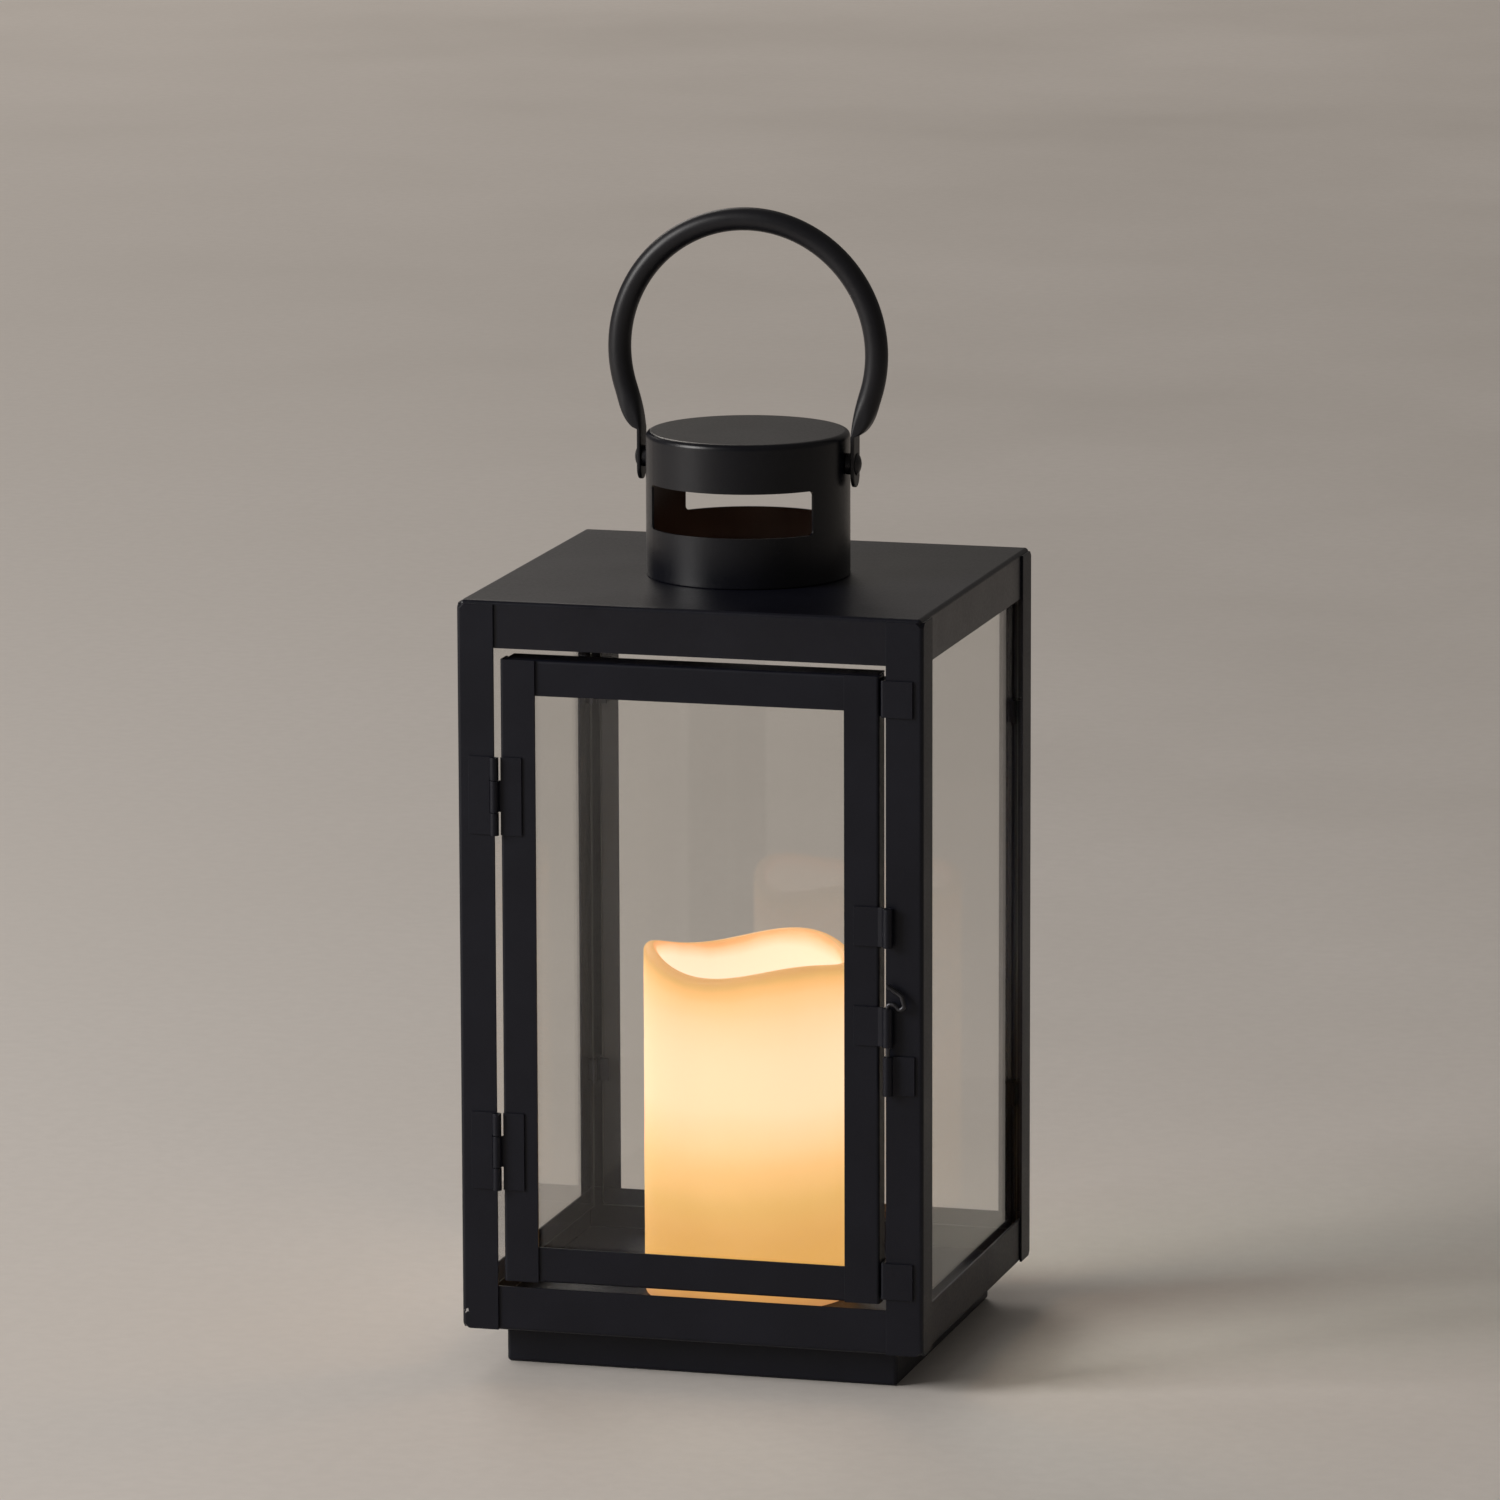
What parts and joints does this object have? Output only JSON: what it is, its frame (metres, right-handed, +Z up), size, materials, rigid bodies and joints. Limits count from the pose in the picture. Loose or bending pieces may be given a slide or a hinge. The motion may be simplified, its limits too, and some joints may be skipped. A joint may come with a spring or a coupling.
{
  "type": "candle lantern",
  "caption": "Square black sheet-metal candle lantern with glass panes, a hinged and latched door, a vented chimney, a ring handle and a lit battery pillar candle.",
  "frame": {"origin": "centre of the plinth's underside, on the surface the lantern stands on", "axes": "+Z up; the door is on the -Y side, hinged on the -X side and latched on the +X side"},
  "size_m": [0.16, 0.1536, 0.3865],
  "materials": {
    "black_powder_coat": "satin black powder coat, fine grain",
    "black_roof": "satin black powder coat, fine grain",
    "black_chimney": "satin black powder coat, a little smoother than the body",
    "black_handle": "satin black powder coat",
    "clear_glass": "clear float glass, ground edges",
    "latch_wire": "dark steel wire with bright cut ends",
    "pin_steel": "dark steel",
    "candle_wax": "translucent ivory wax, lit from inside",
    "frosted_stem": "frosted translucent plastic, lit",
    "warm_led": "warm white lamp",
    "circuit_board": "green solder mask",
    "white_plastic": "ivory moulded plastic, fine grain",
    "black_plastic": "black moulded plastic",
    "battery_case": "plain printed wrap with a bare steel cap",
    "contact_spring_steel": "plated spring steel"
  },
  "bodies": {
    "frame": {"base_tray": "black_powder_coat", "chimney": "black_chimney", "door_stop_lower": "black_powder_coat", "door_stop_upper": "black_powder_coat", "handle_rivets": "black_handle", "handle_washers": "black_handle", "hinge_leaf_post_lower": "black_powder_coat", "hinge_leaf_post_upper": "black_powder_coat", "hinge_pin_lower": "pin_steel", "hinge_pin_upper": "pin_steel", "latch_keeper": "black_powder_coat", "pane_clips": "black_powder_coat", "pane_left": "clear_glass", "pane_rear": "clear_glass", "pane_right": "clear_glass", "plinth": "black_powder_coat", "post_front_left": "black_powder_coat", "post_front_right": "black_powder_coat", "post_rear_left": "black_powder_coat", "post_rear_right": "black_powder_coat", "roof_pan": "black_roof"},
    "door": {"door_stile_left": "black_powder_coat", "door_stile_right": "black_powder_coat", "door_rail_top": "black_powder_coat", "door_rail_bottom": "black_powder_coat", "door_pane": "clear_glass", "door_pane_clips": "black_powder_coat", "hinge_leaf_door_upper": "black_powder_coat", "hinge_leaf_door_lower": "black_powder_coat", "latch_guide_upper": "black_powder_coat", "latch_guide_lower": "black_powder_coat"},
    "latch_bolt": {"latch_bolt": "latch_wire"},
    "ring_handle": {"ring_handle": "black_handle"},
    "candle": {"candle_wax": "candle_wax", "light_stem": "frosted_stem", "led": "warm_led", "circuit_board": "circuit_board", "battery_box": "white_plastic", "battery_left": "battery_case", "battery_right": "battery_case", "battery_contacts": "contact_spring_steel", "battery_cover": "white_plastic", "switch_body": "white_plastic"},
    "switch_knob": {"switch_knob": "black_plastic"}
  },
  "joints": [
    {"name": "door_hinge", "type": "hinge", "parent": "frame", "child": "door", "pos_m": [-0.0668, -0.0765, 0.1362], "axis": [0, 0, -1], "range_deg": [0, 170]},
    {"name": "latch_bolt_slide", "type": "slide", "parent": "door", "child": "latch_bolt", "axis": [0, 0, 1], "range_m": [0, 0.0116]},
    {"name": "handle_swing", "type": "hinge", "parent": "frame", "child": "ring_handle", "pos_m": [0, 0, 0.301], "axis": [1, 0, 0], "range_deg": [-112, 112]},
    {"name": "candle_lift", "type": "slide", "parent": "frame", "child": "candle", "axis": [0, 0, 1], "range_m": [0, 0.12]},
    {"name": "switch_slide", "type": "slide", "parent": "candle", "child": "switch_knob", "axis": [0, 1, 0], "range_m": [0, 0.003]}
  ]
}
